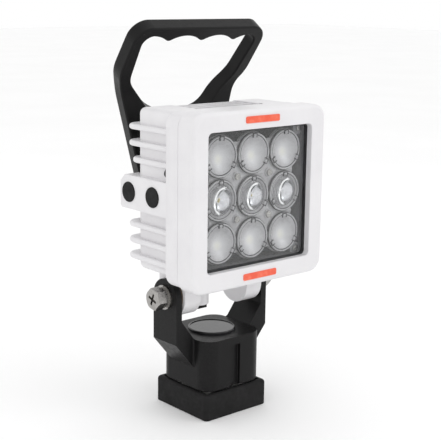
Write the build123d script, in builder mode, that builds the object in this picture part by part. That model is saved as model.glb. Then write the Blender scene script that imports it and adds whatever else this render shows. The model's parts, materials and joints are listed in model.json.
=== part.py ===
from build123d import *
import os
from math import cos, radians, sin

os.makedirs("parts", exist_ok=True)

# LED work light on a swivelling magnet base. Millimetres, +Z up, the light faces -Y.
# The origin is the centre of the magnet base's bottom face.

# Driving dimensions: magnet base
boot_side = 53.0
boot_height = 17.4
boot_wall = 3.6
boot_floor = 1.0
boot_corner = 3.0
boot_top_round = 2.4
pot_skirt_wall = 2.9
pot_height = 12.0
pot_roof = 4.0
pot_boss_r = 18.0
magnet_gap = 1.0
friction_disc_t = 1.2
boot_gap = 1.2

# Driving dimensions: M8 hardware shared by the swivel and the pivots
m8_r = 4.0
m8_flats = 13.0
run_gap = 0.06
m8_hole_gap = 0.2

# Driving dimensions: swivel stack in the block
carriage_head_r = 8.0
carriage_head_t = 1.9
thrust_plate_r = 20.5
thrust_plate_t = 1.0
swivel_washer_r = 10.0
swivel_washer_t = 1.6
disc_spring_r = 9.0
disc_spring_t = 1.0
disc_spring_rise = 0.6
swivel_nut_t = 7.5
nut_thread_out = 1.6

# Driving dimensions: yoke
block_side = 49.0
block_height = 33.6
block_corner = 10.0
channel_width = 8.0
channel_depth = 2.4
channel_height = 28.4
well_r = 12.5
well_depth = 14.2
arm_out_x = 39.0
arm_thickness = 4.5
arm_width = 24.0
pivot_y = 1.0
pivot_z = 80.5
arm_straight_z = 65.5
gusset_out_z = 50.4
gusset_drop = 17.4
gusset_fillet = 1.2
cap_r = 15.8
cap_t = 1.1
cap_rim_t = 0.5
cap_rim_w = 1.0
cap_spigot_wall = 1.2
cap_spigot_depth = 5.0

# Driving dimensions: pivot hardware
flat_washer_r = 8.0
flat_washer_t = 1.6
spring_washer_r = 6.7
spring_washer_t = 2.3
spring_washer_slit = 1.0
bolt_head_t = 6.3
cross_length = 8.0
cross_width = 1.7
cross_depth = 2.6
friction_washer_r = 11.0
friction_washer_t = 1.5

# Driving dimensions: head
head_z = 148.3
bezel_side = 110.6
bezel_depth = 14.6
bezel_corner = 9.5
bezel_front_round = 2.6
window_side = 86.4
window_corner = 3.0
lip_depth = 4.3
bezel_pocket_side = 93.0
bezel_pocket_corner = 4.0
flange_side = 109.0
flange_depth = 12.0
flange_front_y = -31.5
body_width = 100.0
body_bottom_z = 99.0
body_top_z = 202.4
body_back_y = 17.0
body_back_round = 7.0
wall_back = 5.0
chamber_width = 88.0
chamber_height = 80.0
ledge_y = -16.0

# Driving dimensions: fins and side bosses
fin_pitch = 10.4
fin_t = 3.6
fin_out = 3.0
fin_back = 8.0
short_fin_back = 4.0
fin_corner = 8.0
boss_out = 4.0
boss_back = 11.0
boss_height = 21.6
boss_chamfer = 4.5
plug_r = 6.5
plug_t = 0.8
plug_hole_r = 5.0
plug_hole_depth = 7.0
plug_back_y = 19.0
plug_spacing = 24.5
top_pocket_width = 54.0
top_pocket_depth = 6.0
top_rib_count = 4
top_rib_pitch = 7.4
top_rib_t = 2.8
top_rib_drop = 0.7

# Driving dimensions: lugs and cable inlet
lug_width = 13.0
lug_r = 13.5
lug_bore_depth = 12.0
inlet_x = -12.5
inlet_r = 8.0
inlet_bottom_z = 72.0
gland_thread_r = 6.0
gland_thread_length = 16.0
gland_flange_t = 2.4
gland_flange_r = 7.2
cable_hole_r = 3.2
vent_x = 12.0
vent_r = 4.5
vent_t = 1.4
vent_shank_r = 2.5

# Driving dimensions: optics and electronics
optic_pitch = 27.0
optic_web = 1.5
optic_ring_w = 2.15
ring_gap = 0.35
ring_gap_depth = 0.8
ring_step = 0.9
ring_depth = 3.0
glass_side = 92.0
glass_corner = 3.5
glass_t = 2.8
gasket_t = 2.0
gasket_inner_side = 83.5
carrier_side = 70.0
carrier_rim = 0.8
carrier_plate_t = 4.0
carrier_dish_depth = 2.0
pillar_r = 3.0
frame_wall = 3.0
heat_plate_t = 4.0
led_board_t = 1.6
emitter_side = 5.0
emitter_t = 1.5
emitter_pocket_r = 3.8
m3_r = 1.5
m3_head_r = 2.2
m3_head_t = 1.2
frame_screw = 39.8
frame_post_r = 4.3
frame_post_drop = 1.5
seal_side = 96.2
seal_width = 1.6
seal_t = 1.6
bezel_screw_x = 50.8
bezel_screw_rise = 16.4
bezel_screw_top_x = 27.0
bezel_screw_bite = 7.0
bezel_head_r = 2.75
bezel_head_t = 3.0
relief_r = 3.4
relief_depth = 6.0
driver_width = 70.0
driver_height = 64.0
driver_board_t = 1.6
standoff_length = 12.0
standoff_r = 2.6
standoff_dx = 30.0
standoff_dz = 27.0

# Driving dimensions: handle
handle_gap = 18.5
handle_t = 10.0
handle_bend_z = 211.0
handle_lean = 36.0
handle_top_s = 48.5
handle_bottom_s = -66.1
handle_waist = 48.2
handle_shoulder = 53.4
handle_shoulder_s = 11.2
handle_half = 53.6
handle_half_s = 29.0
handle_foot_half = 26.5
handle_corner_r = 12.0
handle_side_r = 25.0
handle_waist_r = 90.0
handle_foot_r = 10.0
handle_edge_r = 1.2
opening_top_s = 42.0
opening_half_top = 47.0
opening_half_low = 43.2
opening_low_s = 5.5
opening_low_r = 18.0
opening_floor_half = 21.0
opening_floor_s = -16.4
opening_floor_r = 26.0
opening_corner_r = 7.0
finger_pitch = 27.0
finger_depth = 4.6
finger_tip_r = 3.4
pillar_foot_r = 5.5
pillar_places = [(-22.0, 178.0), (22.0, 178.0), (-16.0, 146.0), (16.0, 146.0)]
m5_r = 2.5
m5_head_r = 4.75
m5_head_t = 2.8
m5_recess_r = 5.3
m5_recess_depth = 3.2
m5_bite = 12.0

# Driving dimensions: badges
badge_width = 28.0
badge_height = 4.2
badge_t = 0.4
badge_offset = 49.2

# Levels worked out from the sizes above
m8_hole_r = m8_r + m8_hole_gap
pocket_side = boot_side - 2 * boot_wall
pot_top_z = boot_floor + pot_height
pot_cavity_z = pot_top_z - pot_roof
pot_boss_top = boot_height + boot_gap - thrust_plate_t - friction_disc_t
thrust_z = pot_boss_top + friction_disc_t
block_bottom_z = thrust_z + thrust_plate_t
block_top_z = block_bottom_z + block_height
well_floor_z = block_top_z - well_depth
half_block = block_side / 2
arm_in_x = arm_out_x - arm_thickness
spring_bottom_z = well_floor_z + swivel_washer_t
nut_bottom_z = spring_bottom_z + disc_spring_t + disc_spring_rise
swivel_top_z = nut_bottom_z + swivel_nut_t + nut_thread_out
lug_out_x = arm_in_x - friction_washer_t
spring_washer_x = arm_out_x + flat_washer_t
bolt_seat_x = spring_washer_x + spring_washer_t
bezel_front_y = flange_front_y - bezel_depth
flange_back_y = flange_front_y + flange_depth
glass_front_y = bezel_front_y + lip_depth
glass_back_y = glass_front_y + glass_t
carrier_front_y = glass_back_y + gasket_t
heat_plate_front_y = ledge_y - heat_plate_t
led_board_front_y = heat_plate_front_y - led_board_t
optic_front_y = carrier_front_y - ring_step
optic_r = (optic_pitch - optic_web) / 2
lens_r = optic_r - optic_ring_w
driver_y = ledge_y + standoff_length
handle_front_y = body_back_y + handle_gap
handle_back_y = handle_front_y + handle_t


def facing_front(y):
    """Plane at the given depth; its normal points forward, along -Y."""
    return Plane.XZ.offset(-y)


def side_plane(x):
    """Plane at the given X; its normal points along +X."""
    return Plane.YZ.offset(x)


# ---------------------------------------------------------------- magnet base

# Square rubber shoe: a tray with a thin floor and a rounded top edge.
with BuildPart() as rubber_boot:
    with BuildSketch():
        RectangleRounded(boot_side, boot_side, boot_corner)
    extrude(amount=boot_height)
    fillet(rubber_boot.edges().group_by(Axis.Z)[-1], radius=boot_top_round)
    chamfer(rubber_boot.edges().group_by(Axis.Z)[0], length=0.5)
    with BuildSketch(Plane.XY.offset(boot_floor)):
        Rectangle(pocket_side, pocket_side)
    extrude(amount=boot_height, mode=Mode.SUBTRACT)
rubber_boot.part.label = "rubber_boot"
export_step(rubber_boot.part, "parts/rubber_boot.step")

# Steel pot: a square cup upside down over the magnets, with a round boss for the swivel.
with BuildPart() as magnet_pot:
    with BuildSketch(Plane.XY.offset(boot_floor)):
        Rectangle(pocket_side, pocket_side)
    extrude(amount=pot_height)
    with BuildSketch(Plane.XY.offset(pot_top_z)):
        Circle(pot_boss_r)
    extrude(amount=pot_boss_top - pot_top_z)
    with BuildSketch(Plane.XY.offset(boot_floor)):
        Rectangle(pocket_side - 2 * pot_skirt_wall, pocket_side - 2 * pot_skirt_wall)
    extrude(amount=pot_cavity_z - boot_floor, mode=Mode.SUBTRACT)
    with BuildSketch(Plane.XY.offset(pot_cavity_z)):
        Circle(carriage_head_r)
    extrude(amount=carriage_head_t, mode=Mode.SUBTRACT)
    with BuildSketch(Plane.XY.offset(pot_cavity_z)):
        Circle(m8_r)
    extrude(amount=pot_boss_top - pot_cavity_z, mode=Mode.SUBTRACT)
magnet_pot.part.label = "magnet_pot"
export_step(magnet_pot.part, "parts/magnet_pot.step")

# Four square ferrite magnets that fill the pot.
magnet_side = (pocket_side - 2 * pot_skirt_wall) / 2 - magnet_gap
with BuildPart() as magnets:
    with BuildSketch(Plane.XY.offset(boot_floor)):
        with GridLocations(magnet_side + magnet_gap, magnet_side + magnet_gap, 2, 2):
            Rectangle(magnet_side, magnet_side)
    extrude(amount=pot_cavity_z - boot_floor)
magnets.part.label = "magnets"
export_step(magnets.part, "parts/magnets.step")

# Flat-headed M8 bolt that stands up through the pot and the block.
with BuildPart() as swivel_bolt:
    with BuildSketch(Plane.XY.offset(pot_cavity_z)):
        Circle(carriage_head_r)
    extrude(amount=carriage_head_t)
    with BuildSketch(Plane.XY.offset(pot_cavity_z)):
        Circle(m8_r)
    extrude(amount=swivel_top_z - pot_cavity_z)
    chamfer(swivel_bolt.edges().group_by(Axis.Z)[-1], length=0.8)
swivel_bolt.part.label = "swivel_bolt"
export_step(swivel_bolt.part, "parts/swivel_bolt.step")

# Fibre disc that gives the swivel its drag.
with BuildPart() as friction_disc:
    with BuildSketch(Plane.XY.offset(pot_boss_top)):
        Circle(pot_boss_r)
        Circle(m8_hole_r, mode=Mode.SUBTRACT)
    extrude(amount=friction_disc_t)
friction_disc.part.label = "friction_disc"
export_step(friction_disc.part, "parts/friction_disc.step")

# Washer, disc spring and lock nut in the block's well hold the stack together.
with BuildPart() as swivel_washer:
    with BuildSketch(Plane.XY.offset(well_floor_z)):
        Circle(swivel_washer_r)
        Circle(m8_hole_r, mode=Mode.SUBTRACT)
    extrude(amount=swivel_washer_t)
swivel_washer.part.label = "swivel_washer"
export_step(swivel_washer.part, "parts/swivel_washer.step")

with BuildPart() as disc_spring:
    with BuildSketch(Plane.XZ):
        with BuildLine():
            Polyline(
                (disc_spring_r, spring_bottom_z),
                (disc_spring_r, spring_bottom_z + disc_spring_t),
                (m8_hole_r, nut_bottom_z),
                (m8_hole_r, nut_bottom_z - disc_spring_t),
                close=True,
            )
        make_face()
    revolve(axis=Axis.Z)
disc_spring.part.label = "disc_spring"
export_step(disc_spring.part, "parts/disc_spring.step")

with BuildPart() as swivel_nut:
    with BuildSketch(Plane.XY.offset(nut_bottom_z)):
        RegularPolygon(m8_flats / 2, 6, major_radius=False)
        Circle(m8_r, mode=Mode.SUBTRACT)
    extrude(amount=swivel_nut_t)
swivel_nut.part.label = "swivel_nut"
export_step(swivel_nut.part, "parts/swivel_nut.step")

# ----------------------------------------------------------------------- yoke

# Stainless plate under the block, which turns on the friction disc.
with BuildPart() as thrust_plate:
    with BuildSketch(Plane.XY.offset(thrust_z)):
        Circle(thrust_plate_r)
        Circle(m8_r + run_gap, mode=Mode.SUBTRACT)
    extrude(amount=thrust_plate_t)
thrust_plate.part.label = "thrust_plate"
export_step(thrust_plate.part, "parts/thrust_plate.step")

# One moulding: two upright arms on gussets, and the square block between and below them.
with BuildPart() as yoke:
    with BuildSketch(facing_front(pivot_y + arm_width / 2)):
        with BuildLine():
            Polyline(
                (0, block_top_z),
                (half_block, block_top_z),
                (arm_in_x, arm_straight_z),
                (arm_in_x, pivot_z + arm_width / 2),
                (arm_out_x, pivot_z + arm_width / 2),
                (arm_out_x, gusset_out_z),
                (half_block, gusset_out_z - gusset_drop),
                (0, gusset_out_z - gusset_drop),
                close=True,
            )
        make_face()
        mirror(about=Plane.YZ)
    extrude(amount=arm_width)
    with BuildSketch(side_plane(-arm_out_x)):
        with Locations((pivot_y, pivot_z)):
            Circle(arm_width / 2)
            Rectangle(arm_width, pivot_z, align=(Align.CENTER, Align.MAX))
    extrude(amount=2 * arm_out_x, mode=Mode.INTERSECT)
    with BuildSketch(Plane.XY.offset(block_bottom_z)):
        RectangleRounded(block_side, block_side, block_corner)
    extrude(amount=block_height)
    root_edges = (
        yoke.edges()
        .filter_by(Axis.Z)
        .filter_by_position(Axis.Y, pivot_y - arm_width / 2 - 0.1, pivot_y + arm_width / 2 + 0.1)
        .filter_by(lambda edge: abs(abs(edge.center().X) - half_block) < 0.1)
    )
    fillet(root_edges, radius=gusset_fillet)
    with BuildSketch(Plane.XY.offset(block_bottom_z)):
        with Locations((0, -half_block), (0, half_block)):
            RectangleRounded(channel_width, 2 * channel_depth, channel_depth / 4)
    extrude(amount=channel_height, mode=Mode.SUBTRACT)
    with BuildSketch(Plane.XY.offset(well_floor_z)):
        Circle(well_r)
    extrude(amount=well_depth, mode=Mode.SUBTRACT)
    with BuildSketch(Plane.XY.offset(block_bottom_z)):
        Circle(m8_r + run_gap)
    extrude(amount=block_height, mode=Mode.SUBTRACT)
    with BuildSketch(side_plane(-arm_out_x)):
        with Locations((pivot_y, pivot_z)):
            Circle(m8_r + run_gap)
    extrude(amount=2 * arm_out_x, mode=Mode.SUBTRACT)
yoke.part.label = "yoke"
export_step(yoke.part, "parts/yoke.step")

# Snap-in cap over the well, with a narrow raised rim.
with BuildPart() as top_cap:
    with BuildSketch(Plane.XY.offset(block_top_z)):
        Circle(cap_r)
    extrude(amount=cap_t + cap_rim_t)
    fillet(top_cap.edges().group_by(Axis.Z)[-1], radius=0.7)
    with BuildSketch(Plane.XY.offset(block_top_z + cap_t)):
        Circle(cap_r - cap_rim_w)
    extrude(amount=cap_rim_t, mode=Mode.SUBTRACT)
    with BuildSketch(Plane.XY.offset(block_top_z)):
        Circle(well_r)
        Circle(well_r - cap_spigot_wall, mode=Mode.SUBTRACT)
    extrude(amount=-cap_spigot_depth)
top_cap.part.label = "top_cap"
export_step(top_cap.part, "parts/top_cap.step")

# ------------------------------------------------------------- pivot hardware

# Each of these nodes is a mirrored pair, one on each arm.
with BuildPart() as flat_washers:
    with BuildSketch(side_plane(arm_out_x)):
        with Locations((pivot_y, pivot_z)):
            Circle(flat_washer_r)
            Circle(m8_hole_r, mode=Mode.SUBTRACT)
    extrude(amount=flat_washer_t)
    mirror(about=Plane.YZ)
flat_washers.part.label = "flat_washers"
export_step(flat_washers.part, "parts/flat_washers.step")

with BuildPart() as spring_washers:
    with BuildSketch(side_plane(spring_washer_x)):
        with Locations((pivot_y, pivot_z)):
            Circle(spring_washer_r)
            Circle(m8_hole_r, mode=Mode.SUBTRACT)
        with Locations((pivot_y + spring_washer_r / 2, pivot_z + spring_washer_r / 2)):
            Rectangle(2 * spring_washer_r, spring_washer_slit, rotation=45, mode=Mode.SUBTRACT)
    extrude(amount=spring_washer_t)
    mirror(about=Plane.YZ)
spring_washers.part.label = "spring_washers"
export_step(spring_washers.part, "parts/spring_washers.step")

with BuildPart() as friction_washers:
    with BuildSketch(side_plane(lug_out_x)):
        with Locations((pivot_y, pivot_z)):
            Circle(friction_washer_r)
            Circle(m8_hole_r, mode=Mode.SUBTRACT)
    extrude(amount=friction_washer_t)
    mirror(about=Plane.YZ)
friction_washers.part.label = "friction_washers"
export_step(friction_washers.part, "parts/friction_washers.step")

# M8 bolts: six flats, a chamfered crown and a cross recess.
with BuildPart() as pivot_bolts:
    with BuildSketch(side_plane(bolt_seat_x)):
        with Locations((pivot_y, pivot_z)):
            Circle(m8_flats / 2 / cos(radians(30)))
    extrude(amount=bolt_head_t)
    chamfer(pivot_bolts.edges().group_by(Axis.X)[-1], length=0.7, length2=1.2)
    with BuildSketch(side_plane(bolt_seat_x)):
        with Locations((pivot_y, pivot_z)):
            RegularPolygon(m8_flats / 2, 6, major_radius=False, rotation=12)
    extrude(amount=bolt_head_t, mode=Mode.INTERSECT)
    with BuildSketch(side_plane(bolt_seat_x + bolt_head_t - cross_depth)):
        with Locations((pivot_y, pivot_z)):
            Rectangle(cross_length, cross_width, rotation=20)
            Rectangle(cross_length, cross_width, rotation=110)
    extrude(amount=cross_depth, mode=Mode.SUBTRACT)
    with BuildSketch(side_plane(bolt_seat_x)):
        with Locations((pivot_y, pivot_z)):
            Circle(m8_r)
    extrude(amount=-(bolt_seat_x - lug_out_x + lug_bore_depth - 0.5))
    mirror(about=Plane.YZ)
pivot_bolts.part.label = "pivot_bolts"
export_step(pivot_bolts.part, "parts/pivot_bolts.step")

# -------------------------------------------------------------------- housing

body_height = body_top_z - body_bottom_z
body_mid_z = (body_top_z + body_bottom_z) / 2
half_body = body_width / 2
chamber_back_y = body_back_y - wall_back
side_screws = [(side * bezel_screw_x, head_z + bezel_screw_rise) for side in (-1, 1)]
edge_screws = [
    (side * bezel_screw_top_x, head_z + level * bezel_screw_x) for side in (-1, 1) for level in (-1, 1)
]
bezel_screw_places = side_screws + edge_screws
top_rib_places = [(0, flange_back_y + step * top_rib_pitch) for step in range(1, top_rib_count + 1)]


def fin_blade(height, back):
    """One cooling fin that wraps round both sides and the back of the body."""
    depth = body_back_y + back - flange_back_y
    with BuildPart(mode=Mode.PRIVATE) as blade:
        with BuildSketch(Plane.XY.offset(height - fin_t / 2)):
            with Locations((0, flange_back_y + depth / 2)):
                Rectangle(body_width + 2 * fin_out, depth)
        extrude(amount=fin_t)
        fillet(blade.edges().filter_by(Axis.Z).group_by(Axis.Y)[-1], radius=fin_corner)
        rim = blade.edges().filter_by(lambda edge: edge.center().Y > flange_back_y + 0.1)
        fillet(rim.filter_by(lambda edge: abs(edge.center().Z - height) > fin_t / 4), radius=fin_t * 0.45)
    return blade.part


with BuildPart() as housing:
    with BuildSketch(facing_front(body_back_y)):
        with Locations((0, body_mid_z)):
            Rectangle(body_width, body_height)
    extrude(amount=body_back_y - flange_back_y)
    fillet(housing.edges().group_by(Axis.Y)[-1], radius=body_back_round)
    fillet(housing.edges().filter_by(Axis.Y), radius=body_back_round / 2)
    with BuildSketch(facing_front(flange_back_y)):
        with Locations((0, head_z)):
            RectangleRounded(flange_side, flange_side, bezel_corner)
    extrude(amount=flange_depth)
    chamfer(housing.faces().sort_by(Axis.Y)[0].edges(), length=0.9)
    for step in (-4, -3, -2, 2, 3, 4):
        add(fin_blade(head_z + step * fin_pitch, short_fin_back if step == 2 else fin_back))
    with BuildSketch(side_plane(-half_body - boss_out)):
        with BuildLine():
            Polyline(
                (flange_back_y, head_z - boss_height / 2),
                (flange_back_y, head_z + boss_height / 2),
                (body_back_y + boss_back - boss_chamfer, head_z + boss_height / 2),
                (body_back_y + boss_back, head_z + boss_height / 2 - boss_chamfer),
                (body_back_y + boss_back, head_z - boss_height / 2 + 1.5),
                (body_back_y + boss_back - 1.5, head_z - boss_height / 2),
                close=True,
            )
        make_face()
    extrude(amount=2 * (half_body + boss_out))
    with BuildSketch(facing_front(body_back_y + boss_back)):
        with Locations((0, head_z)):
            Rectangle(body_width - 14, boss_height)
    extrude(amount=boss_back, mode=Mode.SUBTRACT)
    with BuildSketch(facing_front(handle_front_y)):
        with Locations(*pillar_places):
            Circle(pillar_foot_r)
    extrude(amount=handle_front_y - chamber_back_y)
    with BuildSketch(Plane.XY.offset(body_top_z)):
        with Locations((0, flange_back_y)):
            Rectangle(top_pocket_width, body_back_y - flange_back_y, align=(Align.CENTER, Align.MIN))
        with Locations(*top_rib_places):
            Rectangle(top_pocket_width, top_rib_t, mode=Mode.SUBTRACT)
    extrude(amount=-top_pocket_depth, mode=Mode.SUBTRACT)
    with BuildSketch(Plane.XY.offset(body_top_z)):
        with Locations((0, flange_back_y)):
            Rectangle(top_pocket_width, body_back_y - flange_back_y, align=(Align.CENTER, Align.MIN))
    extrude(amount=-top_rib_drop, mode=Mode.SUBTRACT)
    with BuildSketch(side_plane(lug_out_x)):
        with Locations((pivot_y, pivot_z)):
            Circle(lug_r)
            Rectangle(2 * lug_r, body_bottom_z + 1 - pivot_z, align=(Align.CENTER, Align.MIN))
    lug = extrude(amount=-lug_width)
    mirror(lug, about=Plane.YZ)
    with BuildSketch(Plane.XY.offset(inlet_bottom_z)):
        with Locations((inlet_x, pivot_y)):
            Circle(inlet_r)
    extrude(amount=body_bottom_z + 1 - inlet_bottom_z)
    with BuildSketch(facing_front(ledge_y)):
        with Locations((0, head_z)):
            RectangleRounded(bezel_pocket_side, bezel_pocket_side, bezel_pocket_corner)
    extrude(amount=ledge_y - flange_front_y, mode=Mode.SUBTRACT)
    with BuildSketch(facing_front(chamber_back_y)):
        with Locations((0, head_z)):
            RectangleRounded(chamber_width, chamber_height, bezel_pocket_corner)
    extrude(amount=chamber_back_y - ledge_y, mode=Mode.SUBTRACT)
    with BuildSketch(facing_front(flange_front_y + seal_t)):
        with Locations((0, head_z)):
            RectangleRounded(seal_side, seal_side, bezel_pocket_corner + seal_width)
            RectangleRounded(
                seal_side - 2 * seal_width,
                seal_side - 2 * seal_width,
                bezel_pocket_corner,
                mode=Mode.SUBTRACT,
            )
    extrude(amount=seal_t, mode=Mode.SUBTRACT)
    with BuildSketch(facing_front(flange_back_y + relief_depth)):
        with Locations(*bezel_screw_places):
            Circle(relief_r)
    extrude(amount=relief_depth, mode=Mode.SUBTRACT)
    with BuildSketch(facing_front(flange_back_y)):
        with Locations(*bezel_screw_places):
            Circle(m3_r)
    extrude(amount=flange_depth, mode=Mode.SUBTRACT)
    with BuildSketch(facing_front(handle_front_y)):
        with Locations(*pillar_places):
            Circle(m5_r)
    extrude(amount=m5_bite, mode=Mode.SUBTRACT)
    with BuildSketch(side_plane(half_body + boss_out)):
        with Locations((plug_back_y, head_z), (plug_back_y - plug_spacing, head_z)):
            Circle(plug_hole_r)
    plug_holes = extrude(amount=-plug_hole_depth, mode=Mode.SUBTRACT)
    mirror(plug_holes, about=Plane.YZ, mode=Mode.SUBTRACT)
    with BuildSketch(side_plane(lug_out_x)):
        with Locations((pivot_y, pivot_z)):
            Circle(m8_r)
    lug_bores = extrude(amount=-lug_bore_depth, mode=Mode.SUBTRACT)
    mirror(lug_bores, about=Plane.YZ, mode=Mode.SUBTRACT)
    with BuildSketch(Plane.XY.offset(inlet_bottom_z)):
        with Locations((inlet_x, pivot_y)):
            Circle(gland_thread_r)
    extrude(amount=head_z - chamber_height / 2 - inlet_bottom_z, mode=Mode.SUBTRACT)
    with BuildSketch(Plane.XY.offset(body_bottom_z)):
        with Locations((vent_x, pivot_y)):
            Circle(vent_shank_r)
    extrude(amount=head_z - chamber_height / 2 - body_bottom_z, mode=Mode.SUBTRACT)
housing.part.label = "housing"
export_step(housing.part, "parts/housing.step")

with BuildPart() as housing_seal:
    with BuildSketch(facing_front(flange_front_y + seal_t)):
        with Locations((0, head_z)):
            RectangleRounded(seal_side, seal_side, bezel_pocket_corner + seal_width)
            RectangleRounded(
                seal_side - 2 * seal_width,
                seal_side - 2 * seal_width,
                bezel_pocket_corner,
                mode=Mode.SUBTRACT,
            )
    extrude(amount=seal_t)
housing_seal.part.label = "housing_seal"
export_step(housing_seal.part, "parts/housing_seal.step")

# Black plugs in the threaded side holes.
with BuildPart() as side_plugs:
    with BuildSketch(side_plane(half_body + boss_out)):
        with Locations((plug_back_y, head_z), (plug_back_y - plug_spacing, head_z)):
            Circle(plug_r)
    extrude(amount=plug_t)
    fillet(side_plugs.edges().group_by(Axis.X)[-1], radius=0.5)
    with BuildSketch(side_plane(half_body + boss_out)):
        with Locations((plug_back_y, head_z), (plug_back_y - plug_spacing, head_z)):
            Circle(plug_hole_r)
    extrude(amount=-plug_hole_depth + 0.5)
    mirror(about=Plane.YZ)
side_plugs.part.label = "side_plugs"
export_step(side_plugs.part, "parts/side_plugs.step")

# Gland screwed up into the inlet boss, with a hole for the cable.
with BuildPart() as cable_gland:
    with BuildSketch(Plane.XY.offset(inlet_bottom_z)):
        with Locations((inlet_x, pivot_y)):
            RegularPolygon(gland_flange_r, 6)
    extrude(amount=-gland_flange_t)
    with BuildSketch(Plane.XY.offset(inlet_bottom_z)):
        with Locations((inlet_x, pivot_y)):
            Circle(gland_thread_r)
    extrude(amount=gland_thread_length)
    with BuildSketch(Plane.XY.offset(inlet_bottom_z - gland_flange_t)):
        with Locations((inlet_x, pivot_y)):
            Circle(cable_hole_r)
    extrude(amount=gland_flange_t + gland_thread_length, mode=Mode.SUBTRACT)
cable_gland.part.label = "cable_gland"
export_step(cable_gland.part, "parts/cable_gland.step")

# Round vent that lets the housing breathe.
with BuildPart() as breather_vent:
    with BuildSketch(Plane.XY.offset(body_bottom_z)):
        with Locations((vent_x, pivot_y)):
            Circle(vent_r)
    extrude(amount=-vent_t)
    fillet(breather_vent.edges().group_by(Axis.Z)[0], radius=0.5)
    with BuildSketch(Plane.XY.offset(body_bottom_z)):
        with Locations((vent_x, pivot_y)):
            Circle(vent_shank_r)
    extrude(amount=head_z - chamber_height / 2 - body_bottom_z)
breather_vent.part.label = "breather_vent"
export_step(breather_vent.part, "parts/breather_vent.step")

# ---------------------------------------------------------------------- bezel

with BuildPart() as bezel:
    with BuildSketch(facing_front(flange_front_y)):
        with Locations((0, head_z)):
            RectangleRounded(bezel_side, bezel_side, bezel_corner)
    extrude(amount=bezel_depth)
    fillet(bezel.faces().sort_by(Axis.Y)[0].edges(), radius=bezel_front_round)
    chamfer(bezel.faces().sort_by(Axis.Y)[-1].edges(), length=0.9)
    with BuildSketch(facing_front(flange_front_y)):
        with Locations((0, head_z)):
            RectangleRounded(window_side, window_side, window_corner)
    extrude(amount=bezel_depth, mode=Mode.SUBTRACT)
    fillet(bezel.faces().sort_by(Axis.Y)[0].inner_wires()[0].edges(), radius=0.6)
    with BuildSketch(facing_front(flange_front_y)):
        with Locations((0, head_z)):
            RectangleRounded(bezel_pocket_side, bezel_pocket_side, bezel_pocket_corner)
    extrude(amount=bezel_depth - lip_depth, mode=Mode.SUBTRACT)
    with BuildSketch(facing_front(flange_front_y)):
        with Locations(*bezel_screw_places):
            Circle(m3_r)
    extrude(amount=bezel_screw_bite + 0.5, mode=Mode.SUBTRACT)
bezel.part.label = "bezel"
export_step(bezel.part, "parts/bezel.step")

# Socket-head screws from behind the flange.
with BuildPart() as bezel_screws:
    with BuildSketch(facing_front(flange_back_y + bezel_head_t)):
        with Locations(*bezel_screw_places):
            Circle(bezel_head_r)
    extrude(amount=bezel_head_t)
    with BuildSketch(facing_front(flange_back_y + bezel_head_t)):
        with Locations(*bezel_screw_places):
            RegularPolygon(bezel_head_r / 2, 6)
    extrude(amount=bezel_head_t / 2, mode=Mode.SUBTRACT)
    with BuildSketch(facing_front(flange_back_y)):
        with Locations(*bezel_screw_places):
            Circle(m3_r)
    extrude(amount=flange_depth + bezel_screw_bite)
bezel_screws.part.label = "bezel_screws"
export_step(bezel_screws.part, "parts/bezel_screws.step")

# Plain red plates on the bezel, above and below the window.
for badge_name, level in (("badge_top", 1), ("badge_bottom", -1)):
    with BuildPart() as badge:
        with BuildSketch(facing_front(bezel_front_y)):
            with Locations((0, head_z + level * badge_offset)):
                RectangleRounded(badge_width, badge_height, badge_height / 4)
        extrude(amount=badge_t)
    badge.part.label = badge_name
    export_step(badge.part, f"parts/{badge_name}.step")

# --------------------------------------------------------- window and optics

with BuildPart() as window_glass:
    with BuildSketch(facing_front(glass_back_y)):
        with Locations((0, head_z)):
            RectangleRounded(glass_side, glass_side, glass_corner)
    extrude(amount=glass_t)
window_glass.part.label = "window_glass"
export_step(window_glass.part, "parts/window_glass.step")

with BuildPart() as window_gasket:
    with BuildSketch(facing_front(carrier_front_y)):
        with Locations((0, head_z)):
            RectangleRounded(glass_side, glass_side, glass_corner)
            RectangleRounded(gasket_inner_side, gasket_inner_side, glass_corner / 2, mode=Mode.SUBTRACT)
    extrude(amount=gasket_t)
window_gasket.part.label = "window_gasket"
export_step(window_gasket.part, "parts/window_gasket.step")

optic_places = [
    (column * optic_pitch, head_z + row * optic_pitch) for row in (1, 0, -1) for column in (-1, 0, 1)
]
carrier_screws_at = [
    (dx * optic_pitch / 2, head_z + dz * optic_pitch / 2) for dx in (-1, 1) for dz in (-1, 1)
]
frame_screws_at = [(dx * frame_screw, head_z + dz * frame_screw) for dx in (-1, 1) for dz in (-1, 1)]
frame_post_y = carrier_front_y + frame_post_drop

# Frame that stands on the board's edge and holds the glass and its gasket against the bezel.
with BuildPart() as window_frame:
    with BuildSketch(facing_front(led_board_front_y)):
        with Locations((0, head_z)):
            RectangleRounded(glass_side, glass_side, glass_corner)
            Rectangle(glass_side - 2 * frame_wall, glass_side - 2 * frame_wall, mode=Mode.SUBTRACT)
    extrude(amount=led_board_front_y - carrier_front_y)
    with BuildSketch(facing_front(led_board_front_y)):
        with Locations(*frame_screws_at):
            Circle(frame_post_r)
    extrude(amount=led_board_front_y - frame_post_y)
    with BuildSketch(facing_front(led_board_front_y)):
        with Locations(*frame_screws_at):
            Circle(m3_r)
    extrude(amount=led_board_front_y - frame_post_y, mode=Mode.SUBTRACT)
window_frame.part.label = "window_frame"
export_step(window_frame.part, "parts/window_frame.step")

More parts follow.
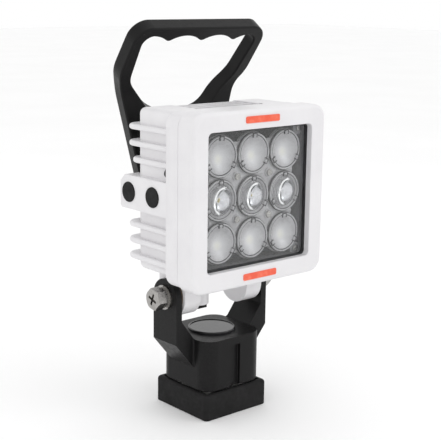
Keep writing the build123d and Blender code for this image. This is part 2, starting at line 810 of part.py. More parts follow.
# Moulded plate that holds the optics. Each one sits in a dish, and the dishes meet in ridges.
with BuildPart() as optic_carrier:
    with BuildSketch(facing_front(carrier_front_y + carrier_plate_t)):
        with Locations((0, head_z)):
            Rectangle(carrier_side, carrier_side)
        with Locations(*optic_places):
            Circle(optic_r + carrier_rim)
    extrude(amount=carrier_plate_t)
    for place_x, place_z in optic_places:
        with Locations(Location((place_x, carrier_front_y + carrier_dish_depth / 2, place_z), (90, 0, 0))):
            Cone(optic_r, optic_pitch * 0.7071, carrier_dish_depth, mode=Mode.SUBTRACT)
    with BuildSketch(facing_front(led_board_front_y)):
        with Locations(*carrier_screws_at):
            Circle(pillar_r)
    extrude(amount=led_board_front_y - carrier_front_y)
    with BuildSketch(facing_front(carrier_front_y + carrier_plate_t)):
        with Locations(*optic_places):
            Circle(optic_r)
    extrude(amount=carrier_plate_t, mode=Mode.SUBTRACT)
    with BuildSketch(facing_front(led_board_front_y)):
        with Locations(*carrier_screws_at):
            Circle(m3_r)
    extrude(amount=led_board_front_y - carrier_front_y, mode=Mode.SUBTRACT)
optic_carrier.part.label = "optic_carrier"
export_step(optic_carrier.part, "parts/optic_carrier.step")


def pan_screws(places, seat_y):
    """M3 pan-head screws with their heads on the given level and their ends in the heat plate."""
    with BuildPart(mode=Mode.PRIVATE) as screws:
        with BuildSketch(facing_front(seat_y)):
            with Locations(*places):
                Circle(m3_head_r)
        extrude(amount=m3_head_t)
        fillet(screws.edges().group_by(Axis.Y)[0], radius=0.4)
        with BuildSketch(facing_front(seat_y)):
            with Locations(*places):
                Circle(m3_r)
        extrude(amount=-(ledge_y - 0.5 - seat_y))
    return screws.part


with BuildPart() as carrier_screws:
    add(pan_screws(carrier_screws_at, carrier_front_y))
carrier_screws.part.label = "carrier_screws"
export_step(carrier_screws.part, "parts/carrier_screws.step")

with BuildPart() as frame_screws:
    add(pan_screws(frame_screws_at, frame_post_y))
frame_screws.part.label = "frame_screws"
export_step(frame_screws.part, "parts/frame_screws.step")

# Each optic is a cone of clear plastic with a ring round its front. The flood lens is a
# shallow milky dome, the spot lens has a dished middle.
cone_top_y = optic_front_y + ring_depth
cone_base_y = led_board_front_y - emitter_t - 1.0
lens_level_y = optic_front_y + 0.5
for index, (place_x, place_z) in enumerate(optic_places):
    is_spot = place_z == head_z
    optic_name = f"spot_optic_{index % 3 + 1}" if is_spot else f"flood_optic_{index + 1 - 3 * (index > 5)}"
    with BuildPart() as optic:
        with BuildSketch(Plane.XY):
            with BuildLine():
                if is_spot:
                    Polyline((0, optic_front_y + 4.5), (4.2, optic_front_y + 4.5), (5.2, lens_level_y))
                    Line((5.2, lens_level_y), (lens_r, lens_level_y))
                else:
                    ThreePointArc(
                        (0, optic_front_y - 0.6), (lens_r / 2, optic_front_y - 0.3), (lens_r, lens_level_y)
                    )
                Polyline(
                    (lens_r, lens_level_y),
                    (lens_r, optic_front_y + ring_gap_depth),
                    (lens_r + ring_gap, optic_front_y + ring_gap_depth),
                    (lens_r + ring_gap, optic_front_y),
                    (optic_r, optic_front_y),
                    (optic_r, cone_top_y),
                    (lens_r, cone_top_y + 1.0),
                    (emitter_pocket_r + 1.4, cone_base_y),
                    (emitter_pocket_r, cone_base_y),
                    (emitter_pocket_r, cone_base_y - 3.5),
                    (0, cone_base_y - 4.5),
                )
                Line((0, cone_base_y - 4.5), (0, optic_front_y + 4.5 if is_spot else optic_front_y - 0.6))
            make_face()
        revolve(axis=Axis.Y)
    placed = optic.part.moved(Location((place_x, 0, place_z)))
    placed.label = optic_name
    export_step(placed, f"parts/{optic_name}.step")

# ----------------------------------------------------------------- electronics

with BuildPart() as heat_plate:
    with BuildSketch(facing_front(ledge_y)):
        with Locations((0, head_z)):
            RectangleRounded(glass_side, glass_side, glass_corner)
        with Locations(*carrier_screws_at, *frame_screws_at):
            Circle(m3_r, mode=Mode.SUBTRACT)
    extrude(amount=heat_plate_t)
heat_plate.part.label = "heat_plate"
export_step(heat_plate.part, "parts/heat_plate.step")

with BuildPart() as led_board:
    with BuildSketch(facing_front(heat_plate_front_y)):
        with Locations((0, head_z)):
            RectangleRounded(glass_side, glass_side, glass_corner)
        with Locations(*carrier_screws_at, *frame_screws_at):
            Circle(m3_r, mode=Mode.SUBTRACT)
    extrude(amount=led_board_t)
led_board.part.label = "led_board"
export_step(led_board.part, "parts/led_board.step")

with BuildPart() as led_emitters:
    with BuildSketch(facing_front(led_board_front_y)):
        with Locations(*optic_places):
            Rectangle(emitter_side, emitter_side)
    extrude(amount=emitter_t)
led_emitters.part.label = "led_emitters"
export_step(led_emitters.part, "parts/led_emitters.step")

standoff_places = [(dx * standoff_dx, head_z + dz * standoff_dz) for dx in (-1, 1) for dz in (-1, 1)]
with BuildPart() as board_standoffs:
    with BuildSketch(facing_front(driver_y)):
        with Locations(*standoff_places):
            RegularPolygon(standoff_r, 6)
    extrude(amount=standoff_length)
board_standoffs.part.label = "board_standoffs"
export_step(board_standoffs.part, "parts/board_standoffs.step")

driver_back_y = driver_y + driver_board_t
with BuildPart() as driver_board:
    with BuildSketch(facing_front(driver_back_y)):
        with Locations((0, head_z)):
            Rectangle(driver_width, driver_height)
    extrude(amount=driver_board_t)
driver_board.part.label = "driver_board"
export_step(driver_board.part, "parts/driver_board.step")

# Coil, two capacitors and two chips, standing on the driver board's back.
with BuildPart() as driver_parts:
    with BuildSketch(facing_front(driver_back_y)):
        with Locations((-16, head_z + 12)):
            Circle(8.5)
    extrude(amount=-8.0)
    with BuildSketch(facing_front(driver_back_y)):
        with Locations((12, head_z + 16), (12, head_z + 2)):
            Circle(5.0)
    extrude(amount=-11.0)
    with BuildSketch(facing_front(driver_back_y)):
        with Locations((-14, head_z - 16), (14, head_z - 18)):
            Rectangle(10, 8)
    extrude(amount=-2.4)
driver_parts.part.label = "driver_parts"
export_step(driver_parts.part, "parts/driver_parts.step")

# --------------------------------------------------------------------- handle

# Side view: a straight foot, then a bend from which the grip leans forward over the light.
lean = radians(handle_lean)
top_front = (handle_front_y - handle_top_s * sin(lean), handle_bend_z + handle_top_s * cos(lean))
top_back = (top_front[0] + handle_t * cos(lean), top_front[1] + handle_t * sin(lean))
miter_rise = handle_t * (1 - cos(lean)) / sin(lean)
foot_z = handle_bend_z + handle_bottom_s / cos(lean)
with BuildPart() as handle_slab:
    with BuildSketch(side_plane(-handle_half - 1)):
        with BuildLine():
            FilletPolyline(
                (handle_front_y, foot_z),
                (handle_front_y, handle_bend_z),
                top_front,
                radius=18,
            )
            Line(top_front, top_back)
            FilletPolyline(
                top_back,
                (handle_back_y, handle_bend_z + miter_rise),
                (handle_back_y, foot_z),
                radius=28,
            )
            Line((handle_back_y, foot_z), (handle_front_y, foot_z))
        make_face()
    extrude(amount=2 * handle_half + 2)

# Front view, drawn on the leaning face: outline with its hand opening and finger hollows.
leaning_face = Plane(
    origin=(0, handle_front_y, handle_bend_z), x_dir=(-1, 0, 0), z_dir=(0, cos(lean), sin(lean))
)
outline_start = -60
outline_length = 160
crest_s = opening_top_s - finger_depth
finger_r = (finger_pitch**2 / 4 + finger_depth**2) / (2 * finger_depth)
right_side = [
    (handle_foot_half, handle_bottom_s),
    (handle_waist, 0),
    (handle_shoulder, handle_shoulder_s),
    (handle_half, handle_half_s),
    (handle_half, handle_top_s),
]
right_rounds = [handle_foot_r, handle_waist_r, handle_side_r, handle_side_r, handle_corner_r]
left_side = [(-across, along) for across, along in reversed(right_side)]
opening_rounds = [
    (crest_s, finger_tip_r),
    (opening_low_s, opening_low_r),
    (opening_floor_s, opening_floor_r),
]
with BuildPart() as handle_outline:
    with BuildSketch(leaning_face.offset(outline_start)):
        with BuildLine():
            FilletPolyline(*right_side, *left_side, radius=right_rounds + right_rounds[::-1], close=True)
        make_face()
    extrude(amount=outline_length)
    with BuildSketch(leaning_face.offset(outline_start)) as opening:
        with BuildLine():
            Polyline(
                (opening_half_top, opening_top_s),
                (opening_half_low, opening_low_s),
                (opening_floor_half, opening_floor_s),
                (-opening_floor_half, opening_floor_s),
                (-opening_half_low, opening_low_s),
                (-opening_half_top, opening_top_s),
                close=True,
            )
        make_face()
        fillet(opening.vertices().group_by(Axis.Y)[-1], radius=opening_corner_r)
        with BuildSketch(mode=Mode.INTERSECT):
            with Locations(*[(side * finger_pitch / 2, opening_top_s - finger_r) for side in (-3, -1, 1, 3)]):
                Circle(finger_r)
            with Locations((0, crest_s)):
                Rectangle(2 * handle_half, handle_half * 2, align=(Align.CENTER, Align.MAX))
        for level, radius in opening_rounds:
            fillet(opening.vertices().filter_by_position(Axis.Y, level - 0.2, level + 0.2), radius=radius)
    extrude(amount=outline_length, mode=Mode.SUBTRACT)

with BuildPart() as handle:
    add(handle_slab.part)
    add(handle_outline.part, mode=Mode.INTERSECT)
    fillet(handle.edges(), radius=handle_edge_r)
    with BuildSketch(facing_front(handle_back_y)):
        with Locations(*pillar_places):
            Circle(m5_r)
    extrude(amount=handle_t, mode=Mode.SUBTRACT)
    with BuildSketch(facing_front(handle_back_y)):
        with Locations(*pillar_places):
            Circle(m5_recess_r)
    extrude(amount=m5_recess_depth, mode=Mode.SUBTRACT)
handle.part.label = "handle"
export_step(handle.part, "parts/handle.step")

with BuildPart() as handle_screws:
    with BuildSketch(facing_front(handle_back_y - m5_recess_depth + m5_head_t)):
        with Locations(*pillar_places):
            Circle(m5_head_r)
    extrude(amount=m5_head_t)
    fillet(handle_screws.edges().group_by(Axis.Y)[-1], radius=1.6)
    with BuildSketch(facing_front(handle_back_y - m5_recess_depth + m5_head_t)):
        with Locations(*pillar_places):
            RegularPolygon(1.7, 6)
    extrude(amount=1.6, mode=Mode.SUBTRACT)
    with BuildSketch(facing_front(handle_back_y - m5_recess_depth)):
        with Locations(*pillar_places):
            Circle(m5_r)
    extrude(amount=handle_t - m5_recess_depth + m5_bite - 0.5)
handle_screws.part.label = "handle_screws"
export_step(handle_screws.part, "parts/handle_screws.step")
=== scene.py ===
import json
import math

import bmesh
import bpy
from mathutils import Matrix, Vector


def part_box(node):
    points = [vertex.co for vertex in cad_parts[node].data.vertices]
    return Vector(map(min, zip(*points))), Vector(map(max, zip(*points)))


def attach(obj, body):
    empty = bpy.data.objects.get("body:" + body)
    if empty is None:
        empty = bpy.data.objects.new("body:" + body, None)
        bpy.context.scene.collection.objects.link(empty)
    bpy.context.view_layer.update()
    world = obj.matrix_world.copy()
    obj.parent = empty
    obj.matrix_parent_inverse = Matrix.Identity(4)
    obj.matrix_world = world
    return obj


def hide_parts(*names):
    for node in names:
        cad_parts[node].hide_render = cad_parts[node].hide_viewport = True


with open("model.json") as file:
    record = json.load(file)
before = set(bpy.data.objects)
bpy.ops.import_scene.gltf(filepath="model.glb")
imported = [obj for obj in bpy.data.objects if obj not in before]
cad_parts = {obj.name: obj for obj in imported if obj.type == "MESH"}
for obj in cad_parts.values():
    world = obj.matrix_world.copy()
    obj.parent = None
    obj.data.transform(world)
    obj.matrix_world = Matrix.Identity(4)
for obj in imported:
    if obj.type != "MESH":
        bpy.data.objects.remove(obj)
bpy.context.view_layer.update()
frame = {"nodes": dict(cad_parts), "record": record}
nodes = frame["nodes"]

# Metres, +Z up, the light faces -Y. The looks of an LED work light on a magnet base.
MM = 0.001


# ------------------------------------------------------------ node-tree helpers


class Material:
    """A principled material with short calls for the noise, bump and mixing nodes it needs."""

    def __init__(self, name, color=(0.5, 0.5, 0.5), roughness=0.5, **sockets):
        self.material = bpy.data.materials.new(name)
        self.material.use_nodes = True
        self.tree = self.material.node_tree
        self.shader = self.tree.nodes["Principled BSDF"]
        self.shader.inputs["Base Color"].default_value = (*color, 1)
        self.shader.inputs["Roughness"].default_value = roughness
        for socket, value in sockets.items():
            self.shader.inputs[socket.replace("_", " ").title().replace("Ior", "IOR")].default_value = value
        self.place = self.node("ShaderNodeTexCoord").outputs["Object"]

    def node(self, kind, **settings):
        made = self.tree.nodes.new(kind)
        for key, value in settings.items():
            setattr(made, key, value)
        return made

    def link(self, source, target):
        self.tree.links.new(source, target)

    def noise(self, scale, detail=3.0, stretch=(1, 1, 1), roughness=0.55):
        """A noise value in 0..1 with features about 1 / scale metres across."""
        mapping = self.node("ShaderNodeMapping")
        mapping.inputs["Scale"].default_value = stretch
        self.link(self.place, mapping.inputs["Vector"])
        made = self.node("ShaderNodeTexNoise")
        made.inputs["Scale"].default_value = scale
        made.inputs["Detail"].default_value = detail
        made.inputs["Roughness"].default_value = roughness
        self.link(mapping.outputs["Vector"], made.inputs["Vector"])
        return made.outputs["Fac"]

    def cells(self, scale, feature="F1"):
        made = self.node("ShaderNodeTexVoronoi", feature=feature)
        made.inputs["Scale"].default_value = scale
        self.link(self.place, made.inputs["Vector"])
        return made.outputs["Distance"]

    def span(self, value, low, high, to_low=0.0, to_high=1.0):
        """Maps low..high of value to to_low..to_high, clamped."""
        made = self.node("ShaderNodeMapRange")
        for socket, number in zip(("From Min", "From Max", "To Min", "To Max"), (low, high, to_low, to_high)):
            made.inputs[socket].default_value = number
        self.link(value, made.inputs["Value"])
        return made.outputs["Result"]

    def edges(self):
        """1 along raised edges, from the mesh's own curvature."""
        return self.node("ShaderNodeNewGeometry").outputs["Pointiness"]

    def blend(self, amount, first, second):
        """Mixes two colours by a value."""
        made = self.node("ShaderNodeMix", data_type="RGBA")
        self.link(amount, made.inputs["Factor"])
        for socket, colour in ((made.inputs[6], first), (made.inputs[7], second)):
            if isinstance(colour, bpy.types.NodeSocket):
                self.link(colour, socket)
            else:
                socket.default_value = (*colour, 1)
        return made.outputs[2]

    def math(self, operation, first, second=0.0):
        """One math node on two values or sockets."""
        made = self.node("ShaderNodeMath", operation=operation)
        for socket, value in zip(made.inputs, (first, second)):
            if isinstance(value, bpy.types.NodeSocket):
                self.link(value, socket)
            else:
                socket.default_value = value
        return made.outputs["Value"]

    def color(self, source):
        self.link(source, self.shader.inputs["Base Color"])

    def rough(self, source):
        self.link(source, self.shader.inputs["Roughness"])

    def bump(self, *layers):
        """Stacks bump layers, each (height value, distance in metres, strength)."""
        last = None
        for height, distance, strength in layers:
            made = self.node("ShaderNodeBump")
            made.inputs["Distance"].default_value = distance
            made.inputs["Strength"].default_value = strength
            self.link(height, made.inputs["Height"])
            if last is not None:
                self.link(last, made.inputs["Normal"])
            last = made.outputs["Normal"]
        self.link(last, self.shader.inputs["Normal"])


# -------------------------------------------------------------------- materials


def powder_coat():
    """White powder coat on die castings: orange peel, faint mottling, and painted shade that greys the
    hollows.
    """
    m = Material("powder_coat", (0.80, 0.79, 0.81), 0.42, coat_weight=0.12, coat_roughness=0.3)
    mottle = m.span(m.noise(55, 4), 0.35, 0.65)
    clean = m.blend(mottle, (0.735, 0.725, 0.742), (0.765, 0.757, 0.770))
    # Painted shade: concave places are blended toward a darker grey copy of the coat.
    painted_hollow_shade = m.span(m.edges(), 0.40, 0.485, 1.0, 0.0)
    m.color(m.blend(m.math("MULTIPLY", painted_hollow_shade, 0.35), clean, (0.60, 0.585, 0.60)))
    m.rough(m.span(m.noise(900, 2), 0.3, 0.7, 0.36, 0.50))
    m.bump((m.noise(1500, 2), 0.00012, 0.22), (m.noise(5200, 2), 0.00004, 0.2))
    return m.material


def moulded_nylon(name, color, roughness, grain=0.3):
    """Glass-filled nylon: fine spark texture, slight flow marks, and paler edges that are partly rubbed wear
    and partly a painted highlight.
    """
    m = Material(name, color, roughness, specular_ior_level=0.14)
    flow = m.span(m.noise(38, 4, (1, 1, 0.35)), 0.25, 0.85)
    lighter = tuple(c * 1.15 for c in color)
    body = m.blend(flow, color, lighter)
    # Raised edges are made paler: partly rubbed wear, partly a painted highlight.
    rubbed_edge_and_highlight = m.math("MULTIPLY", m.span(m.edges(), 0.58, 0.70), m.span(m.noise(900, 3), 0.4, 0.65))
    m.color(m.blend(m.math("MULTIPLY", rubbed_edge_and_highlight, 0.35), body, tuple(c * 2.6 + 0.02 for c in color)))
    m.rough(m.span(m.noise(420, 3), 0.3, 0.7, roughness - 0.06, roughness + 0.08))
    m.bump((m.noise(3200, 3), 0.00006, grain), (m.noise(700, 2), 0.00008, grain * 0.4))
    return m.material


def rubber(name, color, roughness=0.72):
    """Soft rubber: matt, with a mottled bloom and fine pits."""
    m = Material(name, color, roughness, specular_ior_level=0.2)
    bloom = m.span(m.noise(90, 5), 0.4, 0.7)
    m.color(m.blend(bloom, color, tuple(c * 1.35 + 0.002 for c in color)))
    m.rough(m.span(m.noise(300, 3), 0.3, 0.7, roughness - 0.1, roughness + 0.08))
    m.bump((m.noise(2400, 3), 0.00008, 0.35), (m.cells(900), 0.00005, 0.15))
    return m.material


def gloss_black():
    """Polished black cap with hairline scratches."""
    m = Material("gloss_black", (0.018, 0.018, 0.019), 0.1, specular_ior_level=0.35, coat_weight=0.15)
    scratches = m.span(m.noise(260, 6, (1, 9, 1)), 0.55, 0.75)
    m.rough(m.span(scratches, 0, 1, 0.08, 0.22))
    m.color(m.blend(m.span(m.noise(120, 4), 0.4, 0.7), (0.015, 0.015, 0.016), (0.03, 0.03, 0.032)))
    m.bump((m.noise(60, 2), 0.0002, 0.06))
    return m.material


def steel(name, color, roughness, brushed=(1, 1, 1), streak=900):
    """Bare or plated steel with machining lines and slight staining."""
    m = Material(name, color, roughness, metallic=1.0)
    lines = m.noise(streak, 4, brushed)
    stain = m.span(m.noise(140, 4), 0.45, 0.75)
    m.color(m.blend(stain, color, tuple(c * 0.72 for c in color)))
    m.rough(m.span(lines, 0.3, 0.7, roughness - 0.08, roughness + 0.14))
    m.bump((lines, 0.00003, 0.3))
    return m.material


def pale_plastic(name, color, roughness, shade=0.75):
    """Moulded grey plastic with a fine satin texture."""
    m = Material(name, color, roughness)
    m.color(m.blend(m.span(m.noise(160, 4), 0.4, 0.7), color, tuple(c * shade for c in color)))
    m.rough(m.span(m.noise(700, 2), 0.3, 0.7, roughness - 0.07, roughness + 0.07))
    m.bump((m.noise(2600, 2), 0.00004, 0.2))
    return m.material


def milky_optic():
    """Frosted polycarbonate over an LED, with a painted warm highlight a little below the middle of each
    optic that fades to painted grey shade at its rim.
    """
    m = Material("milky_optic", (0.72, 0.71, 0.73), 0.28, coat_weight=0.3, coat_roughness=0.12)
    first, second = (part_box(name) for name in ("spot_optic_1", "spot_optic_2"))
    half_pitch = abs(second[0].x - first[0].x) / 2
    row_z = (second[0].z + second[1].z) / 2
    # Where the painted highlight sits: a little below and to the side of each optic's middle.
    highlight_shift, highlight_drop = 0.4 * MM, 1.8 * MM
    split = m.node("ShaderNodeSeparateXYZ")
    m.link(m.place, split.inputs[0])
    squares = []
    for axis, middle in ((0, highlight_shift), (2, row_z - highlight_drop)):
        wrap = m.node("ShaderNodeMath", operation="WRAP")
        wrap.inputs[1].default_value = half_pitch
        wrap.inputs[2].default_value = -half_pitch
        m.link(m.math("SUBTRACT", split.outputs[axis], middle), wrap.inputs[0])
        squares.append(m.math("MULTIPLY", wrap.outputs[0], wrap.outputs[0]))
    radius = m.math("SQRT", m.math("ADD", *squares))
    # Painted shade: the grey, mottled by noise, that each optic fades to toward its rim.
    mottled_rim_shade = m.blend(m.span(m.noise(420, 3), 0.35, 0.7), (0.50, 0.49, 0.51), (0.60, 0.59, 0.61))
    # Painted glow: warm near-white at the highlight's middle, fading out over about 4 mm.
    painted_glow_core = m.blend(m.span(radius, 0.0, 0.0042), (0.98, 0.965, 0.90), (0.86, 0.85, 0.87))
    m.color(m.blend(m.span(radius, 0.0025, 0.0095), painted_glow_core, mottled_rim_shade))
    m.rough(m.span(m.noise(1800, 2), 0.3, 0.7, 0.22, 0.36))
    m.bump((m.noise(2600, 2), 0.00004, 0.25))
    return m.material


def bright_optic():
    """Polished reflector seen through clear plastic."""
    m = Material("bright_optic", (0.80, 0.80, 0.82), 0.12, metallic=0.85, coat_weight=0.4)
    m.color(m.blend(m.span(m.noise(300, 3), 0.4, 0.7), (0.84, 0.84, 0.86), (0.62, 0.62, 0.65)))
    m.rough(m.span(m.noise(900, 2), 0.3, 0.7, 0.06, 0.2))
    m.bump((m.noise(500, 2), 0.0001, 0.15))
    return m.material


def phosphor():
    """Yellow silicone over the LED chips."""
    m = Material("phosphor", (0.80, 0.66, 0.16), 0.35)
    m.color(m.blend(m.span(m.cells(1400), 0.0, 0.5), (0.84, 0.70, 0.18), (0.66, 0.52, 0.10)))
    m.bump((m.noise(1500, 2), 0.00005, 0.3))
    return m.material


def pane(name, tint, roughness):
    """Clear pane or lens. Rays from lamps pass straight through it."""
    m = Material(name, tint, roughness, transmission_weight=1.0, ior=1.46)
    m.rough(m.span(m.noise(60, 3), 0.4, 0.75, roughness, roughness + 0.03))
    clear = m.node("ShaderNodeBsdfTransparent")
    clear.inputs["Color"].default_value = (*(c * 0.98 for c in tint), 1)
    pick = m.node("ShaderNodeMixShader")
    m.link(m.node("ShaderNodeLightPath").outputs["Is Shadow Ray"], pick.inputs["Fac"])
    m.link(m.shader.outputs["BSDF"], pick.inputs[1])
    m.link(clear.outputs["BSDF"], pick.inputs[2])
    m.link(pick.outputs["Shader"], m.tree.nodes["Material Output"].inputs["Surface"])
    return m.material


def red_plate():
    """Printed orange-red label plate, slightly faded and scuffed."""
    m = Material("red_plate", (0.85, 0.09, 0.03), 0.35, coat_weight=0.3, coat_roughness=0.2)
    fade = m.span(m.noise(240, 4), 0.4, 0.7)
    m.color(m.blend(fade, (0.82, 0.085, 0.03), (0.88, 0.16, 0.08)))
    m.rough(m.span(m.noise(900, 3), 0.3, 0.7, 0.28, 0.45))
    m.bump((m.noise(2200, 2), 0.00003, 0.2))
    return m.material


def circuit(name, color, trace):
    """Solder mask over copper, with tracks showing faintly."""
    m = Material(name, color, 0.4)
    tracks = m.span(m.cells(420, "DISTANCE_TO_EDGE"), 0.03, 0.09)
    m.color(m.blend(tracks, trace, color))
    m.rough(m.span(m.noise(500, 2), 0.3, 0.7, 0.33, 0.48))
    m.bump((tracks, 0.00004, 0.4))
    return m.material


def floor_paint():
    """Plain pale floor with a very faint mottle."""
    m = Material("floor_paint", (0.97, 0.97, 0.97), 0.7, specular_ior_level=0.2)
    m.color(m.blend(m.span(m.noise(4, 3), 0.4, 0.6), (0.965, 0.965, 0.965), (0.98, 0.98, 0.98)))
    m.rough(m.span(m.noise(40, 3), 0.3, 0.7, 0.65, 0.75))
    return m.material


# A finish for every slot in the record, and closer ones for the lenses and clips.
finishes = {
    "white_coat": powder_coat(),
    "black_nylon": moulded_nylon("black_nylon", (0.0078, 0.0076, 0.0078), 0.36),
    "boot_rubber": rubber("boot_rubber", (0.009, 0.0087, 0.009)),
    "plug_rubber": rubber("plug_rubber", (0.007, 0.007, 0.0075), 0.6),
    "seal_rubber": rubber("seal_rubber", (0.13, 0.132, 0.14), 0.6),
    "black_gloss": gloss_black(),
    "stainless": steel("stainless", (0.40, 0.39, 0.375), 0.26, (1, 1, 6)),
    "zinc_steel": steel("zinc_steel", (0.55, 0.55, 0.54), 0.34),
    "screw_black": steel("screw_black", (0.045, 0.045, 0.048), 0.38),
    "bare_aluminium": steel("bare_aluminium", (0.72, 0.72, 0.73), 0.3, (8, 1, 1)),
    "brass": steel("brass", (0.70, 0.52, 0.20), 0.28),
    "ferrite": rubber("ferrite", (0.045, 0.045, 0.05), 0.6),
    "fibre": rubber("fibre", (0.13, 0.09, 0.06), 0.8),
    "grey_carrier": pale_plastic("grey_carrier", (0.60, 0.59, 0.61), 0.3, 0.88),
    "dark_frame": pale_plastic("dark_frame", (0.34, 0.34, 0.36), 0.3),
    "electronics_dark": pale_plastic("electronics_dark", (0.05, 0.05, 0.055), 0.5),
    "milky_optic": milky_optic(),
    "clear_optic": bright_optic(),
    "led_phosphor": phosphor(),
    "clear_glass": pane("clear_glass", (0.97, 0.98, 0.98), 0.0),
    "clip_grey": pale_plastic("clip_grey", (0.055, 0.055, 0.06), 0.35),
    "clear_lens": pane("clear_lens", (0.95, 0.95, 0.96), 0.03),
    "red_plate": red_plate(),
    "black_board": circuit("black_board", (0.13, 0.133, 0.142), (0.19, 0.195, 0.205)),
    "green_board": circuit("green_board", (0.02, 0.11, 0.05), (0.05, 0.20, 0.09)),
}

slot_of = {part["node"]: part["material_slot"] for part in frame["record"]["subparts"]}
for name, node in nodes.items():
    node.data.materials.clear()
    node.data.materials.append(finishes[slot_of[name]])

# ------------------------------------------------------------------- mesh pieces


def piece(name, mesh, slot, finish=None, smooth=True):
    """Links a bmesh as an object that rides on the head, with a slot's finish or a closer one."""
    data = bpy.data.meshes.new(name)
    bmesh.ops.recalc_face_normals(mesh, faces=mesh.faces)
    mesh.to_mesh(data)
    mesh.free()
    made = bpy.data.objects.new(name, data)
    bpy.context.scene.collection.objects.link(made)
    data.materials.append(finishes[finish or slot])
    for polygon in data.polygons:
        polygon.use_smooth = smooth
    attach(made, "head")
    return made


def lathe(mesh, profile, turns=96, centre=(0.0, 0.0)):
    """Revolves (radius, y) points about the Y axis through centre (x, z). The profile closes on itself."""
    rings = []
    for step in range(turns):
        angle = 2 * math.pi * step / turns
        rings.append(
            [
                mesh.verts.new(
                    (centre[0] + radius * math.cos(angle), y, centre[1] + radius * math.sin(angle))
                )
                for radius, y in profile
            ]
        )
    for step in range(turns):
        here, there = rings[step], rings[(step + 1) % turns]
        for index in range(len(profile)):
            after = (index + 1) % len(profile)
            mesh.faces.new((here[index], here[after], there[after], there[index]))


ring_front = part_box("optic_carrier")[0].y - 0.9 * MM
optic_names = sorted(name for name in nodes if "_optic_" in name)
tab_angles = [math.radians(angle) for angle in (90, -30, 210)]


def optic_centre(name):
    low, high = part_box(name)
    return (low.x + high.x) / 2, (low.z + high.z) / 2


def in_front(points):
    """Profile points given in millimetres as (radius, depth behind the ring's front)."""
    return [(radius * MM, ring_front + depth * MM) for radius, depth in points]


# Millimetres: radius, and depth behind the ring's front.
optic_back = 5.6
ring_back = 5.0
ring_profile = [
    (12.75, ring_back),
    (12.75, 0.5),
    (12.6, 0.15),
    (12.25, 0.0),
    (11.95, 0.0),
    (11.75, 0.12),
    (11.65, 0.5),
    (11.65, 1.6),
    (11.3, 1.6),
    (11.25, ring_back),
]
lens_rim_r = 11.2
core_depth = 3.6


def bowl(rim_r, rim_depth, floor_r, floor_depth, steps=10):
    """A smooth dish from its rim in to a small flat floor."""
    points = []
    for step in range(steps + 1):
        along = step / steps
        radius = rim_r + (floor_r - rim_r) * along
        points.append((radius, rim_depth + (floor_depth - rim_depth) * math.sin(along * math.pi / 2)))
    return points + [(0.0, floor_depth)]


def turned(name, profile, slot, at, finish=None):
    """A lathed piece on one optic's axis."""
    mesh = bmesh.new()
    lathe(mesh, in_front(profile), centre=optic_centre(at))
    bmesh.ops.remove_doubles(mesh, verts=mesh.verts, dist=1e-6)
    return piece(name, mesh, slot, finish)


def ring(name):
    """Grey rim with a narrow gap inside it. It stands in for the plain optic."""
    made = turned(name + "_ring", ring_profile, "grey_carrier", name)
    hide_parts(name)


def flood_optic(name):
    """Ring round a frosted dish."""
    ring(name)
    lip = [(lens_rim_r, optic_back), (lens_rim_r, 0.7), (11.0, 0.4), (10.8, 0.35)]
    dish = lip + bowl(10.6, 0.5, 1.2, 4.0) + [(0.0, 6.4), (9.0, 6.4)]
    turned(name + "_dish", dish, "milky_optic", name)


def spot_optic(name):
    """Ring and two fine steps round a faceted reflector."""
    ring(name)
    steps = [(lens_rim_r, optic_back)]
    for edge in (lens_rim_r, 10.5):
        steps += [(edge, 0.55), (edge - 0.12, 0.4), (edge - 0.35, 0.4), (edge - 0.4, 1.3), (edge - 0.65, 1.3)]
    turned(name + "_steps", steps + [(9.8, 0.8), (9.7, optic_back)], "milky_optic", name)


def facets(name, around=14, rows=((9.75, 0.9), (7.6, 2.0), (5.2, 2.9), (2.6, 3.5), (0.0, core_depth))):
    """Reflector of flat mirror facets, each row turned half a facet from the last."""
    mesh = bmesh.new()
    x, z = optic_centre(name)
    rings = []
    for row, (radius, depth) in enumerate(rows):
        if radius == 0.0:
            rings.append([mesh.verts.new((x, ring_front + depth * MM, z))] * around)
            continue
        turn = math.pi * (row % 2) / around
        rings.append(
            [
                mesh.verts.new(
                    (
                        x + radius * MM * math.cos(turn + 2 * math.pi * step / around),
                        ring_front + depth * MM,
                        z + radius * MM * math.sin(turn + 2 * math.pi * step / around),
                    )
                )
                for step in range(around)
            ]
        )
    for row in range(len(rows) - 1):
        outer, inner = rings[row], rings[row + 1]
        for step in range(around):
            after = (step + 1) % around
            shift = step if row % 2 == 0 else after
            mesh.faces.new((outer[step], outer[after], inner[shift]))
            if rows[row + 1][0] > 0.0:
                mesh.faces.new((inner[shift], outer[after], inner[(shift + 1) % around]))
    piece(name + "_reflector", mesh, "clear_optic", smooth=False)


def dome(name, reach=9.6):
    """Clear lens over one faceted reflector."""
    steps, rim_depth, rise = 10, 0.7, 1.15
    front = [
        (reach * (1 - step / steps), rim_depth - rise * math.sin(math.pi / 2 * step / steps))
        for step in range(steps + 1)
    ]
    turned(name + "_lens", front + [(0.0, 1.0), (reach, 1.0)], "clear_optic", name, "clear_lens")


def cores():
    """Phosphor domes at the middle of the faceted reflectors."""
    rises = [(1.9, 0.3), (1.9, -0.2), (1.5, -0.55), (0.8, -0.75), (0.0, -0.8), (0.0, 0.3)]
    profile = in_front([(radius, core_depth + rise) for radius, rise in rises])
    mesh = bmesh.new()
    for name in optic_names:
        if name.startswith("spot"):
            lathe(mesh, profile, 32, optic_centre(name))
    bmesh.ops.remove_doubles(mesh, verts=mesh.verts, dist=1e-6)
    piece("optic_cores", mesh, "led_phosphor")


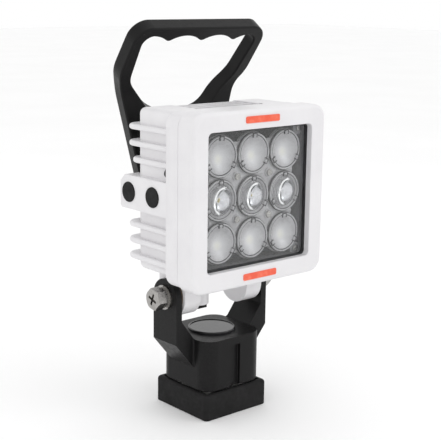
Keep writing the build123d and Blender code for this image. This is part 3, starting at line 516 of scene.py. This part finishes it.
def bar(mesh, centre, angle, radial, tangent, size):
    """A small block on an optic's ring: radial and tangent place it, size is (radial, deep, tangent)."""
    turn = Matrix.Rotation(-angle, 4, "Y")
    spot = Vector((centre[0], ring_front, centre[1])) + turn @ Vector((radial, 0.0, tangent))
    stretch = Matrix.Diagonal((*size, 1))
    bmesh.ops.create_cube(mesh, size=1.0, matrix=Matrix.Translation(spot) @ turn @ stretch)


def clips():
    """Three U-shaped clips round every ring, and the pale tongues inside them."""
    frames, tongues = bmesh.new(), bmesh.new()
    for name in optic_names:
        centre = optic_centre(name)
        for angle in tab_angles:
            for side in (-1, 1):
                bar(frames, centre, angle, 11.2 * MM, side * 1.5 * MM, (2.6 * MM, 1.0 * MM, 0.5 * MM))
            bar(frames, centre, angle, 12.4 * MM, 0.0, (0.5 * MM, 1.0 * MM, 3.5 * MM))
            bar(tongues, centre, angle, 11.2 * MM, 0.0, (1.9 * MM, 0.8 * MM, 2.4 * MM))
    for mesh in (frames, tongues):
        bmesh.ops.bevel(mesh, geom=mesh.edges[:], offset=0.08 * MM, segments=2, affect="EDGES")
    piece("optic_clip_frames", frames, "dark_frame", "clip_grey")
    piece("optic_clip_tongues", tongues, "milky_optic")


def gap_shade_rings():
    """Thin dark rings inside and outside every optic's ring, painted shade that stands for the shadowed gaps
    there.
    """
    mesh = bmesh.new()
    for name in optic_names:
        for inner, outer, depth in ((11.22, 11.62, 0.35), (12.8, 13.15, 0.9)):
            profile = [(inner, depth), (outer, depth), (outer, depth + 1.2), (inner, depth + 1.2)]
            lathe(mesh, in_front(profile), centre=optic_centre(name))
    # Painted shade: dark rings laid where the gaps round each ring fall into shadow.
    piece("optic_gap_shade_rings", mesh, "dark_frame", "clip_grey")


for name in optic_names:
    if name.startswith("flood"):
        flood_optic(name)
    else:
        spot_optic(name)
        facets(name)
        dome(name)
cores()
clips()
gap_shade_rings()

# ----------------------------------------------------------- floor, light, camera

floor_data = bpy.data.meshes.new("floor")
floor_half = 6.0
corners = [(x * floor_half, y * floor_half, 0) for x, y in ((-1, -1), (1, -1), (1, 1), (-1, 1))]
floor_data.from_pydata(corners, [], [(0, 1, 2, 3)])
floor = bpy.data.objects.new("floor", floor_data)
bpy.context.scene.collection.objects.link(floor)
floor_data.materials.append(floor_paint())

world = bpy.data.worlds.new("studio")
bpy.context.scene.world = world
world.use_nodes = True
world.node_tree.nodes["Background"].inputs["Color"].default_value = (1.0, 1.0, 1.0, 1)
world.node_tree.nodes["Background"].inputs["Strength"].default_value = 1.0
bpy.context.scene.view_settings.view_transform = "Standard"

aim = Vector((0, 0, 0.13))


def soft_box(name, place, size, power):
    """An area light that looks at the middle of the object."""
    data = bpy.data.lights.new(name, "AREA")
    data.shape = "RECTANGLE"
    data.size, data.size_y = size
    data.energy = power
    lamp = bpy.data.objects.new(name, data)
    bpy.context.scene.collection.objects.link(lamp)
    lamp.location = place
    lamp.rotation_euler = (aim - Vector(place)).to_track_quat("-Z", "Y").to_euler()


soft_box("key_light", (0.75, -0.95, 0.75), (0.5, 0.5), 1.6)
soft_box("fill_light", (-1.05, -0.45, 0.40), (0.7, 0.7), 0.6)
soft_box("top_light", (0.0, 0.1, 1.2), (0.8, 0.8), 0.8)

# The camera stands in front, to the left and a little above, with a long lens.
camera_data = bpy.data.cameras.new("camera")
camera_data.lens = 87.62
camera_place = (-0.44832, -0.52379, 0.27439)
camera = bpy.data.objects.new("camera", camera_data)
bpy.context.scene.collection.objects.link(camera)
bpy.context.scene.camera = camera
azimuth, elevation, roll = (math.radians(angle) for angle in (-40.978, 12.126, 0.751))
level_back = Vector((math.sin(azimuth), -math.cos(azimuth), 0))
back = level_back * math.cos(elevation) + Vector((0, 0, math.sin(elevation)))
level_right = Vector((math.cos(azimuth), math.sin(azimuth), 0))
level_up = back.cross(level_right)
right = level_right * math.cos(roll) + level_up * math.sin(roll)
up = level_up * math.cos(roll) - level_right * math.sin(roll)
camera_turn = Matrix((right, up, back)).transposed().to_4x4()
camera.matrix_world = Matrix.Translation(camera_place) @ camera_turn
